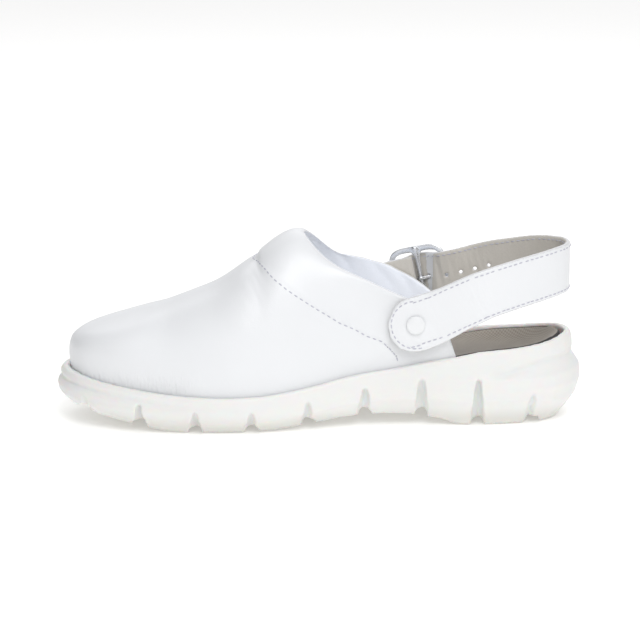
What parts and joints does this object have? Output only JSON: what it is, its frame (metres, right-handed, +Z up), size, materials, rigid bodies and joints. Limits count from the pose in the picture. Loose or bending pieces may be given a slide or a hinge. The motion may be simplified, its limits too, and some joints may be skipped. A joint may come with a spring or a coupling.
{
  "type": "chef clog",
  "caption": "White leather work clog for the right foot: closed toe, open heel, moulded sole with notched side, padded collar and a riveted heel strap with a buckle.",
  "frame": {"origin": "on the floor, below the middle of the shoe's own box", "axes": "+X forward to the toe, +Y to the wearer's left, which is the inner side of this right shoe, +Z up"},
  "size_m": [0.288, 0.106, 0.106],
  "materials": {
    "sole": "satin moulded polyurethane",
    "insole": "woven textile",
    "upper": "smooth white leather with a soft sheen",
    "strap": "white leather outside, beige-grey lining inside",
    "cap": "white snap caps",
    "buckle": "bright nickel"
  },
  "bodies": {
    "root": {"sole": "sole", "insole": "insole", "upper": "upper", "heel_strap": "strap", "buckle_tab": "strap", "buckle_frame": "buckle", "buckle_prong": "buckle", "rivet_inner": "cap", "rivet_outer": "cap"}
  },
  "joints": []
}
